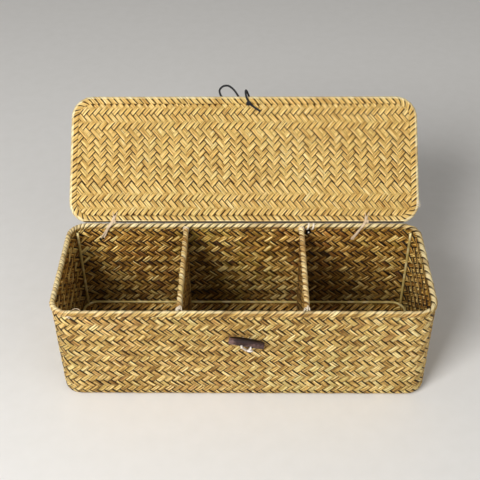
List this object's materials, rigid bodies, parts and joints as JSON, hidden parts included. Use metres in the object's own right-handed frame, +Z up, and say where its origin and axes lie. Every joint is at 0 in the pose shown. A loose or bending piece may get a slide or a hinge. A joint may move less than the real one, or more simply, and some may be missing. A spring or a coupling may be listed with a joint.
{
  "type": "woven lidded box",
  "caption": "Long woven seagrass box with upright dividers, a wire-edged woven lid hinged on raffia ties, and a toggle with an elastic loop to hold it shut.",
  "frame": {"origin": "the middle of the underside of the base, on the surface that the box stands on", "axes": "+X along the length to the right, +Y from the toggle side to the hinge side, +Z up"},
  "size_m": [0.37, 0.264, 0.2181],
  "materials": {
    "seagrass": "dry woven strip, matt with a faint sheen",
    "lid_seagrass": "dry woven strip, matt with a faint sheen",
    "pale_fold": "folded strip, slightly polished along the top",
    "bronze_wire": "olive bronze paint, satin",
    "raffia": "flat raffia strip, fibrous",
    "dark_horn": "dark polished",
    "cotton": "twisted cotton",
    "elastic": "braided cover, matt"
  },
  "bodies": {
    "basket": {"basket_shell": "seagrass", "rim_fold": "pale_fold", "rim_wire": "bronze_wire", "floor_ring": "bronze_wire", "corner_post_front_left": "bronze_wire", "corner_post_front_right": "bronze_wire", "corner_post_rear_left": "bronze_wire", "corner_post_rear_right": "bronze_wire", "divider_panel_left": "seagrass", "divider_border_left": "pale_fold", "divider_rod_left": "bronze_wire", "lashing_front_left": "raffia", "lashing_rear_left": "raffia", "divider_panel_right": "seagrass", "divider_border_right": "pale_fold", "divider_rod_right": "bronze_wire", "lashing_front_right": "raffia", "lashing_rear_right": "raffia", "hinge_tie_left": "raffia", "hinge_tie_right": "raffia"},
    "lid": {"lid_panel": "lid_seagrass", "lid_fold": "pale_fold", "lid_wire": "bronze_wire", "elastic_knot": "elastic"},
    "elastic": {"elastic_loop": "elastic"},
    "toggle": {"toggle": "dark_horn", "toggle_cord": "cotton"}
  },
  "joints": [
    {"name": "lid_hinge", "type": "hinge", "parent": "basket", "child": "lid", "pos_m": [0, 0.06814, 0.12015], "axis": [1, 0, 0], "range_deg": [0, 137], "deforming": ["hinge_tie_left", "hinge_tie_right"]},
    {"name": "loop_swing", "type": "hinge", "parent": "lid", "child": "elastic", "pos_m": [0, 0.1684, 0.20933], "axis": [1, 0, 0], "range_deg": [0, 90], "deforming": ["elastic_loop"]},
    {"name": "toggle_swing", "type": "hinge", "parent": "basket", "child": "toggle", "pos_m": [0.0033, -0.0675, 0.07], "axis": [0, 1, 0], "range_deg": [-180, 180]}
  ]
}
